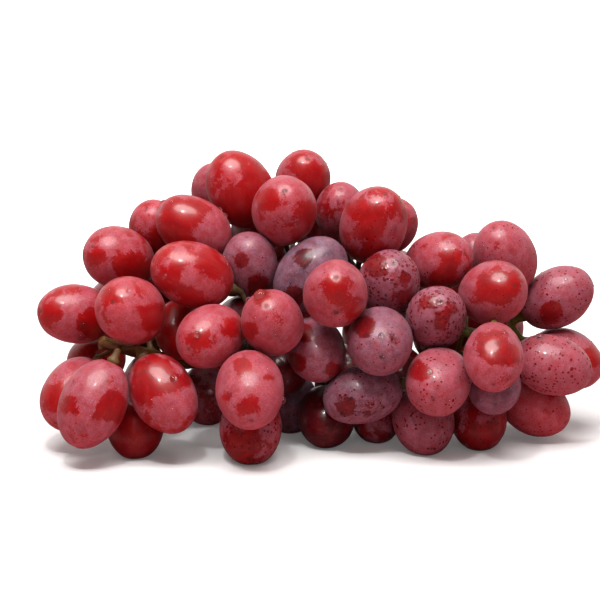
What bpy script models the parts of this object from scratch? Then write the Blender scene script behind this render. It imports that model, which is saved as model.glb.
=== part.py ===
"""A bunch of red table grapes lying on its side.

Forty-nine single berries make the front, the top and the ends. Seven knots of pressed-together
berries and three more single ones close the back. One stem carries them all: the cut stalk, the
branches and the small stalk of each berry. Lengths are in millimetres until a mesh is made.
"""

import heapq
import math
import random

import bmesh
import bpy
import numpy as np

MM = 0.001

# How the bunch lies. Its display face leans back, and places on it are given as
# across (to the right), up (along the face) and out (away from the bunch).
FACE_LEAN = math.radians(13)
FACE_HEIGHT = 41.5

# Berries
SLENDERNESS = 1.36
GAP = 0.3
SUNK = 0.5
PRESSED = 2.2
FRONT_SIDES, FRONT_RINGS = 12, 8
BACK_SIDES, BACK_RINGS = 10, 7

# Stem
PEDICEL_RADIUS = 0.85
RECEPTACLE_RADIUS = 1.7
RECEPTACLE_GAP = 0.4
PEDICEL_STRAIGHT = 3.6
STEM_CLEARANCE = 0.35
STEM_SIDES = 5
STEM_STEP = 7
SIDE_BRANCHES = 18
SHARING = 0.25
GRID = 1.5

# The main axis of the stem from its cut end: across, up, out, radius.
AXIS = (
    (-61, -13, 17, 2.3),
    (-58, -14, 15, 1.8),
    (-52, -15.5, 12, 1.9),
    (-46, -17, 8, 2.0),
    (-38, -20, 3, 2.1),
    (-25, -18, -2, 2.2),
    (-10, -10, -4, 2.2),
    (10, -6, -5, 2.1),
    (30, -6, -4, 1.9),
    (48, -9, -2, 1.7),
    (60, -12, 1, 1.5),
)

# Single berries: across, up, out, bearing of the blossom end on the face (degrees, from
# the right, counter-clockwise), its lean out of the face (degrees), width, skin.
BERRIES = (
    (1.5, 37, -8, 75, 54, 17, "red"),
    (-18, 34, 1, 120, 35, 20, "red"),
    (-26, 34, -16, 100, 50, 16, "red"),
    (-6, 27.5, 12, 85, 64, 19.5, "red"),
    (12, 27.5, -7, 90, 48, 15.5, "mauve"),
    (22, 23, 10, 70, 44, 20, "red"),
    (29.5, 23.5, -6, 75, 48, 14.5, "mauve"),
    (-33, 22, 9, 150, 17, 18.5, "red"),
    (-45, 22, -3, 110, 50, 16, "red"),
    (-56, 13, 8, 155, 50, 19, "red"),
    (-32, 8, 22, 160, 23, 19.5, "red"),
    (-68.6, -5, 14, 175, 35, 18, "red"),
    (-51, -4, 31, 150, 67, 20, "red"),
    (-27, -11, 31, 210, 55, 18.5, "red"),
    (-16, 11, 12, 95, 41, 17, "mauve"),
    (3, 8, 17, 45, 8, 19, "mauve"),
    (12, 0.5, 37, 90, 70, 19, "red"),
    (27, 5.5, 18, 80, 61, 19, "mauve"),
    (43, 12, 10, 15, 52, 18, "mauve"),
    (-8, -7, 33, 110, 66, 18.5, "red"),
    (5, -16, 21, 290, 54, 17.5, "mauve"),
    (23, -12, 31, 270, 70, 19.5, "mauve"),
    (40.5, -5.5, 26, 80, 66, 18, "mauve"),
    (59, 2, 21, 20, 61, 19, "red"),
    (64, 12, 6, 115, 40, 19, "mauve"),
    (55, 13, -9, 90, 61, 14.5, "mauve"),
    (79.2, 0.2, 0, 30, 23, 18, "mauve"),
    (58, -17, 36, 265, 48, 17.5, "red"),
    (77, -20, 18, 345, 5, 18, "mauve"),
    (83, -17, -1, 335, 23, 18, "mauve"),
    (41.5, -25, 28, 245, 67, 19.5, "mauve"),
    (72, -32.5, 7, 330, 31, 18, "red"),
    (57.5, -27, 23, 270, 60, 16, "mauve"),
    (53, -37, 18, 270, 50, 17, "dark"),
    (38.5, -33.5, 12, 285, 45, 18.5, "mauve"),
    (18, -28, 21, 195, 5, 17.5, "mauve"),
    (25.5, -37, 5, 270, 64, 14.5, "dark"),
    (11.5, -35.5, 9, 270, 60, 17.5, "dark"),
    (-2, -32, -5, 260, 50, 16, "dark"),
    (-15, -27, 41, 275, 50, 20, "red"),
    (-15, -39, 28, 270, 45, 18.5, "dark"),
    (-42, -27.5, 34, 300, 17, 19, "red"),
    (-62, -31, 34, 245, 5, 19.5, "red"),
    (-69, -29, 17, 240, 40, 19, "red"),
    (-50, -37, 22, 270, 31, 17.5, "dark"),
    (-63, -18, 2, 200, 55, 16, "red"),
    (-37, -9, 8, 270, 51, 16, "mauve"),
    (-29, -30, -21, 280, 44, 16, "dark"),
    (-5, -21, 7, 270, 70, 15.5, "dark"),
)
LONGER = {29: 1.38, 36: 1.4, 43: 1.42}
RESTING = (34, 35, 37, 38, 39, 41, 45, 48)

# Berries at the back: x, y, z of each, knot by knot.
KNOTS = (
    ((-28, 24, 10), (-8, 23, 10), (-18, 30, 26)),
    ((13, 24, 10), (33, 24, 10), (23, 31, 26)),
    ((53, 21, 10), (44, 30, 26), (62, 26, 27), (74, 14, 14)),
    ((-56, 27, 26), (-39, 31, 28), (-41, 31, 45)),
    ((3, 31, 27), (-5, 32, 43), (-23, 31, 45), (-15, 26, 60)),
    ((31, 30, 42), (50, 26, 43)),
    ((12, 22, 56),),
    ((-55, 13, 33),),
    ((12, 5, 9.5), (31, 6, 9.5)),
    ((-48, 7, 9.5),),
)
BACK_WIDTH = 19.0
BACK_SLENDERNESS = 1.32
CORE = (-2.0, 34.0)

SKINS = {
    "red": (0.45, 0.045, 0.05, 1),
    "mauve": (0.40, 0.12, 0.17, 1),
    "dark": (0.16, 0.02, 0.03, 1),
}
WOOD = (0.33, 0.30, 0.09, 1)

SETTLE_STEPS = 420
SEED = 7


def unit(v):
    v = np.asarray(v, float)
    return v / np.linalg.norm(v)


def face_axes():
    """The across, up and out directions of the display face."""
    s, c = math.sin(FACE_LEAN), math.cos(FACE_LEAN)
    return np.array(((1, 0, 0), (0, s, c), (0, -c, s)), float)


def on_face(across, up, out):
    return np.array((across, up, out)) @ face_axes() + (0, 0, FACE_HEIGHT)


def pointing(bearing, lean):
    b, k = math.radians(bearing), math.radians(lean)
    flat = math.cos(k)
    return unit(np.array((flat * math.cos(b), flat * math.sin(b), math.sin(k))) @ face_axes())


class Berry:
    """An ellipsoid of revolution. direction points from its stalk to its blossom end."""

    def __init__(self, name, centre, direction, width, slenderness, skin):
        self.name, self.skin = name, skin
        self.centre, self.target = np.array(centre, float), np.array(centre, float)
        self.direction = unit(direction)
        self.r, self.h = width / 2, width / 2 * slenderness
        self.resting = False
        self.mobility = np.eye(3)

    def drop(self):
        """How far the lowest point lies under the centre."""
        z = self.direction[2]
        return math.sqrt(self.r**2 * (1 - z * z) + self.h**2 * z * z)

    def behind(self, distance):
        """A point on the stalk, this far behind the stalk end of the berry."""
        return self.centre - self.direction * (self.h + distance)


def single_berries():
    found = []
    mobility = face_axes().T @ np.diag((0.3, 0.3, 1.0)) @ face_axes()
    for i, (across, up, out, bearing, lean, width, skin) in enumerate(BERRIES, 1):
        berry = Berry(
            f"grape_{i:02d}",
            on_face(across, up, out),
            pointing(bearing, lean),
            width,
            LONGER.get(i, SLENDERNESS),
            skin,
        )
        berry.mobility = mobility
        berry.resting = i in RESTING
        found.append(berry)
    return found


def back_berries(chance):
    """The knots at the back, each a list of berries that point away from the core."""
    knots = []
    for number, places in enumerate(KNOTS, 1):
        knot = []
        skin = ("mauve", "red", "dark")[number % 3]
        for place in places:
            away = unit(np.array(place) - (place[0] * 0.85, *CORE))
            away = away + [chance.uniform(-0.35, 0.35) for _ in range(3)]
            width = BACK_WIDTH + chance.uniform(-1.2, 1.2)
            spot = np.array(place) + [chance.uniform(-1.2, 1.2) for _ in range(3)]
            name = f"grapes_back_{number:02d}"
            berry = Berry(name, spot, away, width, BACK_SLENDERNESS, skin)
            berry.resting = place[2] < 12
            knot.append(berry)
        knots.append(knot)
    return knots


def sphere_offsets(berry):
    """Spheres that fill the berry, and two for its stalk: distances along it, and radii."""
    span = berry.h**2 - berry.r**2
    reach = span / berry.h
    along = np.linspace(-reach, reach, 5)
    radii = berry.r * np.sqrt(1 - along**2 / span)
    along = np.append(along, (-berry.h - 1.6, -berry.h - 3.4))
    return along, np.append(radii, (1.2, 1.2))


def axis_line():
    """The main axis of the stem as points and radii, a point about every 3 mm."""
    points = np.array([on_face(*row[:3]) for row in AXIS])
    radii = np.array([row[3] for row in AXIS])
    lengths = np.append(0, np.cumsum(np.linalg.norm(np.diff(points, axis=0), axis=1)))
    places = np.linspace(0, lengths[-1], int(lengths[-1] / 3))
    line = np.array([np.interp(places, lengths, points[:, k]) for k in range(3)]).T
    for _ in range(3):
        line[1:-1] = (line[:-2] + 2 * line[1:-1] + line[2:]) / 4
    return line, np.interp(places, lengths, radii)


def part(a, b, normal, amount):
    """Moves two berries apart along the normal, the easier one further."""
    push_a, push_b = a.mobility @ normal, b.mobility @ normal
    share = amount / (normal @ (push_a + push_b))
    a.centre = a.centre + push_a * share
    b.centre = b.centre - push_b * share


def partners(berries):
    """Which pairs of berries are pressed together: neighbours in the same knot."""
    joined = np.zeros((len(berries), len(berries)), bool)
    for i, a in enumerate(berries):
        for j, b in enumerate(berries):
            near = np.linalg.norm(a.target - b.target) < 25
            joined[i, j] = i != j and a.name == b.name and near
    return joined


def contacts(berries, joined, along, radii):
    """For each pair of berries: the room left beyond what is wanted, and the spheres it is at."""
    count, each = along.shape
    body = each - 2
    centres = np.array([b.centre for b in berries])
    directions = np.array([b.direction for b in berries])
    spheres = (centres[:, None] + directions[:, None] * along[:, :, None]).reshape(-1, 3)
    apart = np.linalg.norm(spheres[:, None] - spheres[None], axis=2)
    room = apart - (radii.reshape(-1)[:, None] + radii.reshape(-1)[None]) - GAP
    room = room.reshape(count, each, count, each)
    room[:, body:, :, body:] = np.inf
    room = room.transpose(0, 2, 1, 3)
    room[joined, :body, :body] += GAP + PRESSED
    room = room.reshape(count, count, -1)
    return room.min(axis=2), room.argmin(axis=2), spheres.reshape(count, each, 3)


def resolve(berries, joined, along, radii):
    """One pass over the pairs that press into each other, or that belong together."""
    room, which, spheres = contacts(berries, joined, along, radii)
    each = along.shape[1]
    start = np.array([b.centre for b in berries])
    worst = 0.0
    for i, j in zip(*np.where(np.triu(room < 8, 1))):
        a, b = berries[i], berries[j]
        ka, kb = divmod(int(which[i, j]), each)
        between = spheres[i, ka] + a.centre - start[i] - spheres[j, kb] - b.centre + start[j]
        distance = np.linalg.norm(between)
        wanted = -PRESSED if joined[i, j] and max(ka, kb) < each - 2 else GAP
        short = radii[i, ka] + radii[j, kb] + wanted - distance
        if short > 0 or joined[i, j]:
            part(a, b, between / distance, short * 0.5)
        worst = max(worst, short)
    return worst


def clear_of_axis(berry, line, radii, along, sizes):
    """Keeps the main axis free: pushes the berry off it."""
    for t, size in zip(along[:5], sizes[:5]):
        centre = berry.centre + berry.direction * t
        away = centre - line
        distance = np.linalg.norm(away, axis=1)
        short = size + radii + GAP + 0.4 - distance
        k = int(short.argmax())
        if short[k] > 0:
            berry.centre = berry.centre + away[k] / distance[k] * short[k] * 0.5


def settle(berries, joined, line, line_radii):
    """Pushes the berries apart until none presses into another or into the floor."""
    sets = [sphere_offsets(b) for b in berries]
    along = np.array([s[0] for s in sets])
    radii = np.array([s[1] for s in sets])
    for step in range(SETTLE_STEPS):
        pull = 0.02 if step < SETTLE_STEPS * 0.6 else 0.0
        for berry in berries:
            berry.centre = berry.centre + (berry.target - berry.centre) * pull
        worst = resolve(berries, joined, along, radii)
        for berry, where, sizes in zip(berries, along, radii):
            clear_of_axis(berry, line, line_radii, where, sizes)
            low = berry.centre[2] - berry.drop()
            if berry.resting or low < 0.3:
                berry.centre[2] -= low + SUNK if berry.resting else low - 0.3
        if pull == 0 and worst < 0.02:
            break
    print(f"settled after {step + 1} steps, worst contact {worst:.3f} mm")


def room_at(points, berries):
    """Distance from each point to the nearest berry, about right near its skin."""
    nearest = np.full(len(points), 1e3)
    for berry in berries:
        offset = points - berry.centre
        t = offset @ berry.direction
        square = np.einsum("ij,ij->i", offset, offset)
        across = np.maximum(square - t * t, 0)
        level = np.sqrt(across / berry.r**2 + t * t / berry.h**2) + 1e-9
        slope = np.sqrt(across / berry.r**4 + t * t / berry.h**4) + 1e-9
        nearest = np.minimum(nearest, (level - 1) * level / slope)
    return np.minimum(nearest, points[:, 2])


def away_from_berries(point, berries):
    """The direction in which the room around a point grows fastest."""
    step = 0.2
    probes = point + np.vstack((np.eye(3), -np.eye(3))) * step
    room = room_at(probes, berries)
    slope = room[:3] - room[3:]
    size = np.linalg.norm(slope)
    return slope / size if size > 1e-6 else np.array((0, 0, 1.0))


def free_grid(berries):
    """The grid of points that the stem may grow through: origin, shape and room at each."""
    centres = np.array([b.centre for b in berries])
    low, high = centres.min(axis=0) - 6, centres.max(axis=0) + 6
    low[2] = 3
    shape = np.ceil((high - low) / GRID).astype(int)
    index = np.indices(shape).reshape(3, -1).T
    return low, shape, room_at(low + index * GRID, berries).reshape(shape)


def cell_of(point, low, shape):
    return tuple(int(c) for c in np.clip(np.round((point - low) / GRID), 0, shape - 1))


def grow(shape, room, seeds, parent):
    """Cheapest ways from the seeds through the free grid: cost and parent of each point."""
    cost = np.full(shape, np.inf)
    parent = dict(parent)
    heap = []
    for cell, start in seeds.items():
        cost[cell] = start
        heapq.heappush(heap, (start, cell))
    steps = [
        (i, j, k, GRID * math.sqrt(i * i + j * j + k * k))
        for i in (-1, 0, 1)
        for j in (-1, 0, 1)
        for k in (-1, 0, 1)
        if i or j or k
    ]
    least = PEDICEL_RADIUS + STEM_CLEARANCE
    while heap:
        here, (x, y, z) = heapq.heappop(heap)
        if here > cost[x, y, z]:
            continue
        for i, j, k, length in steps:
            a, b, c = x + i, y + j, z + k
            if not (0 <= a < shape[0] and 0 <= b < shape[1] and 0 <= c < shape[2]):
                continue
            free = room[a, b, c]
            if free < least:
                continue
            total = here + length * (1 + 2 / free)
            if total < cost[a, b, c] - 1e-9:
                cost[a, b, c] = total
                parent[a, b, c] = (x, y, z)
                heapq.heappush(heap, (total, (a, b, c)))
    return cost, parent


def cluster_middles(points):
    """Middles of the groups of stalks that share a side branch."""
    middles = [points[0]]
    while len(middles) < SIDE_BRANCHES:
        gaps = np.linalg.norm(points[:, None] - np.array(middles)[None], axis=2).min(axis=1)
        middles.append(points[gaps.argmax()])
    middles = np.array(middles)
    for _ in range(6):
        gaps = np.linalg.norm(points[:, None] - middles[None], axis=2)
        owner = gaps.argmin(axis=1)
        for k in range(len(middles)):
            if (owner == k).any():
                middles[k] = points[owner == k].mean(axis=0)
    return middles


def side_branches(berries, low, shape, cost, parent):
    """Grid points of the side branches, each with the cost at which a stalk may join it."""
    ends = np.array([b.behind(PEDICEL_STRAIGHT + 5) for b in berries])
    found = {}
    for middle in cluster_middles(ends):
        cell = nearest_reached(middle, low, shape, cost)
        while cell is not None:
            found[cell] = SHARING * cost[cell]
            cell = parent.get(cell)
    return found


def nearest_reached(point, low, shape, cost):
    """The reached grid point nearest to a place, or None."""
    best = (1e9, None)
    middle = cell_of(point, low, shape)
    for offset in np.indices((9, 9, 9)).reshape(3, -1).T - 4:
        cell = tuple(int(c) for c in offset + middle)
        if min(cell) < 0 or any(c >= s for c, s in zip(cell, shape)):
            continue
        gap = float(np.linalg.norm(offset))
        if np.isfinite(cost[cell]) and gap < best[0]:
            best = (gap, cell)
    return best[1]


def way_in(berry, low, shape, cost):
    """The grid point where the stalk of a berry enters the grid."""
    end = berry.behind(PEDICEL_STRAIGHT)
    best = None
    middle = np.round((end - low) / GRID).astype(int)
    for offset in np.indices((7, 7, 7)).reshape(3, -1).T - 3:
        cell = tuple(middle + offset)
        if min(cell) < 0 or any(c >= s for c, s in zip(cell, shape)):
            continue
        step = np.linalg.norm(low + np.array(cell) * GRID - end)
        backward = (low + np.array(cell) * GRID - end) @ berry.direction
        total = cost[cell] + 3 * step + 4 * max(backward, 0)
        if np.isfinite(total) and (best is None or total < best[0]):
            best = (total, cell)
    return best


def chains_of(berries, low, shape, cost, parent):
    """The branches of the stem: lists of grid points, each ending on an earlier one or the axis."""
    entries = [(way_in(b, low, shape, cost), b) for b in berries]
    lost = [b.name for entry, b in entries if entry is None]
    print("stalks that found no way:", lost)
    entries = sorted((e for e in entries if e[0]), key=lambda e: -e[0][0])
    flow, used, chains = {}, set(), []
    for (_, cell), berry in entries:
        chain, joined = [cell], cell in used
        while True:
            flow[cell] = flow.get(cell, 0) + 1
            if cell not in parent:
                break
            cell = parent[cell]
            if not joined:
                chain.append(cell)
                joined = cell in used
        used.update(chain)
        chains.append((berry, chain))
    return chains, flow


def thinned(chain, keep, low):
    """The chain with a point every few millimetres, and at each fork."""
    kept = [chain[0]]
    for cell in chain[1:-1]:
        step = GRID * np.linalg.norm(np.subtract(cell, kept[-1]))
        if cell in keep or step > STEM_STEP:
            kept.append(cell)
    if chain[-1] != kept[-1]:
        kept.append(chain[-1])
    return kept


def smoothed(chains, low, line, berries):
    """Places of the grid points once the branches have been smoothed and kept off the berries."""
    forks = {chain[-1] for _, chain in chains}
    chains = [(berry, thinned(chain, forks, low)) for berry, chain in chains]
    place = {c: low + np.array(c) * GRID for _, chain in chains for c in chain}
    on_axis = {}
    for cell, point in place.items():
        gap = np.linalg.norm(line - point, axis=1)
        if gap.min() < GRID:
            on_axis[cell] = line[gap.argmin()]
    place.update(on_axis)
    near = {cell: [] for cell in place}
    for berry, chain in chains:
        near[chain[0]].append(berry)
        for a, b in zip(chain, chain[1:]):
            near[a].append(b)
            near[b].append(a)
    need = PEDICEL_RADIUS + STEM_CLEARANCE + 0.25
    for _ in range(25):
        for cell, around in near.items():
            if cell in on_axis:
                continue
            spots = [
                n.behind(PEDICEL_STRAIGHT) if isinstance(n, Berry) else place[n] for n in around
            ]
            point = place[cell] * 0.5 + np.mean(spots, axis=0) * 0.5
            short = need - room_at(point[None], berries)[0]
            if short > 0:
                point = point + away_from_berries(point, berries) * short
            place[cell] = point
        for _, chain in chains:
            for a, b in zip(chain, chain[1:]):
                keep_off(a, b, place, on_axis, need, berries)
    return chains, place


def keep_off(a, b, place, fixed, need, berries):
    """Moves the ends of a straight piece of stem so that its middle clears the berries."""
    middle = (place[a] + place[b]) / 2
    short = need - room_at(middle[None], berries)[0]
    if short > 0:
        push = away_from_berries(middle, berries) * short
        for cell in (a, b):
            if cell not in fixed:
                place[cell] = place[cell] + push


def ring_axes(points):
    """Two directions across the line at each of its points, carried along without twist."""
    run = np.diff(points, axis=0)
    run /= np.linalg.norm(run, axis=1)[:, None]
    mid = np.vstack((run[:1], run[:-1] + run[1:], run[-1:]))
    mid /= np.linalg.norm(mid, axis=1)[:, None] + 1e-12
    side = unit(np.cross(mid[0], (0.31, 0.52, 0.79)))
    axes = []
    for direction in mid:
        side = unit(side - direction * (side @ direction))
        axes.append((side, np.cross(direction, side)))
    return axes


def tube_mesh(points, radii, sides=STEM_SIDES):
    """A closed tube along the points."""
    mesh = bmesh.new()
    rings = []
    for point, radius, (side, other) in zip(points, radii, ring_axes(points)):
        ring = []
        for k in range(sides):
            turn = 2 * math.pi * k / sides
            spot = point + radius * (side * math.cos(turn) + other * math.sin(turn))
            ring.append(mesh.verts.new(spot * MM))
        rings.append(ring)
    for low, high in zip(rings, rings[1:]):
        for k in range(sides):
            mesh.faces.new((low[k], low[(k + 1) % sides], high[(k + 1) % sides], high[k]))
    mesh.faces.new(rings[0][::-1])
    mesh.faces.new(rings[-1])
    bmesh.ops.recalc_face_normals(mesh, faces=mesh.faces)
    return mesh


def material(name, colour, roughness):
    made = bpy.data.materials.get(name)
    if made is None:
        made = bpy.data.materials.new(name)
        made.use_nodes = True
        shader = made.node_tree.nodes["Principled BSDF"]
        shader.inputs["Base Color"].default_value = colour
        shader.inputs["Roughness"].default_value = roughness
        made.diffuse_color = colour
    return made


def add_object(name, mesh, paint, smooth=True):
    data = bpy.data.meshes.new(name)
    mesh.to_mesh(data)
    mesh.free()
    data.materials.append(paint)
    if smooth:
        data.polygons.foreach_set("use_smooth", [True] * len(data.polygons))
    made = bpy.data.objects.new(name, data)
    bpy.context.scene.collection.objects.link(made)
    return made


def united(name, base, others):
    """One object from the base and the others, and the others are removed."""
    group = bpy.data.collections.new(name + "_pieces")
    bpy.context.scene.collection.children.link(group)
    for other in others:
        bpy.context.scene.collection.objects.unlink(other)
        group.objects.link(other)
        other.hide_render = True
        other.display_type = "WIRE"
    join = base.modifiers.new("union", "BOOLEAN")
    join.operation, join.solver = "UNION", "EXACT"
    join.operand_type, join.collection = "COLLECTION", group
    join.use_self = False
    graph = bpy.context.evaluated_depsgraph_get()
    data = bpy.data.meshes.new_from_object(base.evaluated_get(graph), depsgraph=graph)
    base.modifiers.clear()
    base.data = data
    data.name = name
    for other in others:
        bpy.data.objects.remove(other, do_unlink=True)
    bpy.data.collections.remove(group)
    return base


def berry_mesh(berry, sides, rings):
    """The berry as a closed mesh, with one of its long lines turned to the floor."""
    down = np.array((0, 0, -1.0))
    down = down - berry.direction * (down @ berry.direction)
    down = unit(down) if np.linalg.norm(down) > 0.05 else unit(np.cross(berry.direction, (1, 0, 0)))
    side = np.cross(berry.direction, down)
    mesh = bmesh.new()
    ends = [mesh.verts.new((berry.centre + s * berry.direction * berry.h) * MM) for s in (1, -1)]
    loops = []
    for i in range(1, rings):
        angle = math.pi * i / rings
        middle = berry.centre + berry.direction * berry.h * math.cos(angle)
        radius = berry.r * math.sin(angle)
        loop = []
        for k in range(sides):
            turn = 2 * math.pi * k / sides
            spot = middle + radius * (down * math.cos(turn) + side * math.sin(turn))
            loop.append(mesh.verts.new(spot * MM))
        loops.append(loop)
    for k in range(sides):
        n = (k + 1) % sides
        mesh.faces.new((ends[0], loops[0][k], loops[0][n]))
        mesh.faces.new((ends[1], loops[-1][n], loops[-1][k]))
        for first, second in zip(loops, loops[1:]):
            mesh.faces.new((first[k], second[k], second[n], first[n]))
    bmesh.ops.recalc_face_normals(mesh, faces=mesh.faces)
    if berry.resting:
        cut_flat(mesh)
    return mesh


def cut_flat(mesh):
    """Takes off what is under the floor and closes the cut with a flat face."""
    geometry = mesh.verts[:] + mesh.edges[:] + mesh.faces[:]
    bmesh.ops.bisect_plane(
        mesh, geom=geometry, dist=1e-7, plane_co=(0, 0, 0), plane_no=(0, 0, 1), clear_inner=True
    )
    rim = [edge for edge in mesh.edges if edge.is_boundary]
    if rim:
        bmesh.ops.edgeloop_fill(mesh, edges=rim)
        bmesh.ops.recalc_face_normals(mesh, faces=mesh.faces)


def add_berries(singles, knots):
    for berry in singles:
        skin = material("skin_" + berry.skin, SKINS[berry.skin], 0.35)
        add_object(berry.name, berry_mesh(berry, FRONT_SIDES, FRONT_RINGS), skin)
    for knot in knots:
        skin = material("skin_" + knot[0].skin, SKINS[knot[0].skin], 0.35)
        pieces = [add_object(b.name, berry_mesh(b, BACK_SIDES, BACK_RINGS), skin) for b in knot]
        if len(pieces) > 1:
            united(knot[0].name, pieces[0], pieces[1:])


def branch_radius(flow, room):
    """Thicker where it feeds more berries, and thin enough to pass between them."""
    return min(max(PEDICEL_RADIUS * flow**0.3, PEDICEL_RADIUS), 1.9, max(room - STEM_CLEARANCE, 0.6))


def add_stem(berries, line, line_radii):
    """Grows a stalk for every berry and joins them all to the main axis."""
    low, shape, room = free_grid(berries)
    seeds = {cell_of(point, low, shape): 0.0 for point in line}
    cost, parent = grow(shape, room, seeds, {})
    sides = side_branches(berries, low, shape, cost, parent)
    cost, parent = grow(
        shape, room, {**sides, **seeds}, {c: parent[c] for c in sides if c in parent}
    )
    chains, flow = chains_of(berries, low, shape, cost, parent)
    chains, place = smoothed(chains, low, line, berries)
    wood = material("stem_green", WOOD, 0.6)
    base = add_object("stem", tube_mesh(line, line_radii, 8), wood)
    pieces = []
    for berry, chain in chains:
        points = [berry.behind(d) for d in (RECEPTACLE_GAP, PEDICEL_STRAIGHT)]
        radii = [RECEPTACLE_RADIUS, PEDICEL_RADIUS]
        for cell in chain:
            points.append(place[cell])
            free = room_at(place[cell][None], berries)[0]
            radii.append(branch_radius(flow[cell], free))
        kept = [0]
        for k in range(1, len(points)):
            if k < 2 or np.linalg.norm(points[k] - points[kept[-1]]) > 1.5:
                kept.append(k)
        tube = tube_mesh(np.array([points[k] for k in kept]), [radii[k] for k in kept])
        pieces.append(add_object("stalk", tube, wood))
    united("stem", base, pieces)


def centre_all():
    """Moves the bunch so that the middle of its footprint is at the origin."""
    low, high = np.full(3, np.inf), np.full(3, -np.inf)
    for obj in bpy.data.objects:
        points = np.array([v.co for v in obj.data.vertices])
        low, high = np.minimum(low, points.min(axis=0)), np.maximum(high, points.max(axis=0))
    shift = -(low + high) / 2
    shift[2] = 0
    for obj in bpy.data.objects:
        for vertex in obj.data.vertices:
            vertex.co.x += shift[0]
            vertex.co.y += shift[1]
    print("moved by", shift * 1000, "size", (high - low) * 1000)


def main():
    for obj in list(bpy.data.objects):
        bpy.data.objects.remove(obj, do_unlink=True)
    singles = single_berries()
    knots = back_berries(random.Random(SEED))
    berries = singles + [berry for knot in knots for berry in knot]
    line, line_radii = axis_line()
    settle(berries, partners(berries), line, line_radii)
    add_berries(singles, knots)
    add_stem(berries, line, line_radii)
    centre_all()


main()
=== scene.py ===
"""A bunch of red grapes lying on a white table, laid out as a Blender add-on.

Every berry, the stem and the dew are pieces of their own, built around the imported
model of the bunch. Lengths are in metres.
"""

import math
import random

import bmesh
import bpy
import numpy as np
from bpy.props import FloatProperty, FloatVectorProperty, IntProperty, PointerProperty
from bpy.types import Operator, Panel, PropertyGroup
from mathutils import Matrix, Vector, noise


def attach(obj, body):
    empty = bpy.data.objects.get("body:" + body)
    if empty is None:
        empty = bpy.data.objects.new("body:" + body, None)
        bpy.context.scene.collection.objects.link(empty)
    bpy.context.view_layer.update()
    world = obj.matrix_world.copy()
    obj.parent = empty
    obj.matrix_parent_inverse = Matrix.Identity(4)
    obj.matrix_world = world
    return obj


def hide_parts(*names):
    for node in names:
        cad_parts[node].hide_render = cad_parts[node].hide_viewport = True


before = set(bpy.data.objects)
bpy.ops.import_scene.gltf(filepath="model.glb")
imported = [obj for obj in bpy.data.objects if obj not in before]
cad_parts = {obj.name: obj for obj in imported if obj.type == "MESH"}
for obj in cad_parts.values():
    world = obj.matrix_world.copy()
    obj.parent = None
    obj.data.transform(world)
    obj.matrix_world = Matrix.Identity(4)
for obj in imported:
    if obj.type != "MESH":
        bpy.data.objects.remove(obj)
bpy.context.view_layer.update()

bl_info = {
    "name": "Bunch of red grapes",
    "version": (1, 0, 0),
    "blender": (4, 5, 0),
    "location": "3D View > Sidebar > Grapes",
    "description": "Builds a lying bunch of red grapes with bloom and dew",
    "category": "Object",
}

MM = 0.001
BODY = "root"

# The table top as a plane: its normal, pointing down, and its offset.
TABLE = (np.array((0.0, 0.0, -1.0)), 0.0)

# The display face of the bunch: it leans back by this angle.
FACE_LEAN = math.radians(13)
RIGHT = np.array((1.0, 0.0, 0.0))
UP = np.array((0.0, math.sin(FACE_LEAN), math.cos(FACE_LEAN)))
OUT = np.array((0.0, -math.cos(FACE_LEAN), math.sin(FACE_LEAN)))

# Where the camera looks, and how. Lens and sensor are in mm.
LOOK_AT = np.array((-0.00717, 0.00829, 0.0415))
CAMERA_DISTANCE = 0.9
CAMERA_LENS = 172.8
SENSOR = 36.0
CLIP = (0.05, 20)

# How many berries each back knot of the model holds, and where their numbers start.
KNOT_BERRIES = (3, 3, 4, 3, 4, 2, 1, 1, 2, 1)
BACK_NUMBER = 100

# What tells a berry from other ellipsoids: length over width, half length, and how round it is.
BERRY_RATIO = (1.28, 1.46)
BERRY_HALF_LENGTH = (0.0095, 0.0145)
ROUND_WITHIN = 0.0001

# A berry is fitted to this many corners near each other. Others are on it if they are off by
# less than this share of their distance from its centre. Its flat foot is left out.
NEAR_CORNERS = 18
ON_SURFACE = 0.001
ABOVE_TABLE = 0.00005

# Berries with centres nearer than NEIGHBOUR press on each other if less than TOUCH_GAP apart.
NEIGHBOUR = 0.03
TOUCH_GAP = 0.0003

# The cut end of the stalk, how far from it the wood is dry, where along x green wood starts
# and over what length, how far a stalk's tip is pale, and how high the wood is off the table.
# The stalks before the green wood starts are painted dark as shade, not in their own colour.
CUT_END = LOOK_AT + (RIGHT * -61 + UP * -13 + OUT * 17) * MM
DRY_REACH = 0.035
GREEN_START, GREEN_FADE = 0.035, 0.015
TIP_REACH = 0.0018
STEM_CLEARANCE = 0.0001

# Half outline of a stalk's cup: distance behind the berry and radius, in mm.
CUP_SIDES = 12
CUP_PROFILE = (
    (-0.75, 0.0), (-0.7, 1.0), (-0.15, 1.75), (0.35, 1.95), (0.8, 1.85),
    (1.3, 1.45), (2.0, 1.15), (3.2, 0.95), (4.2, 0.9), (4.3, 0.0),
)
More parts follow.
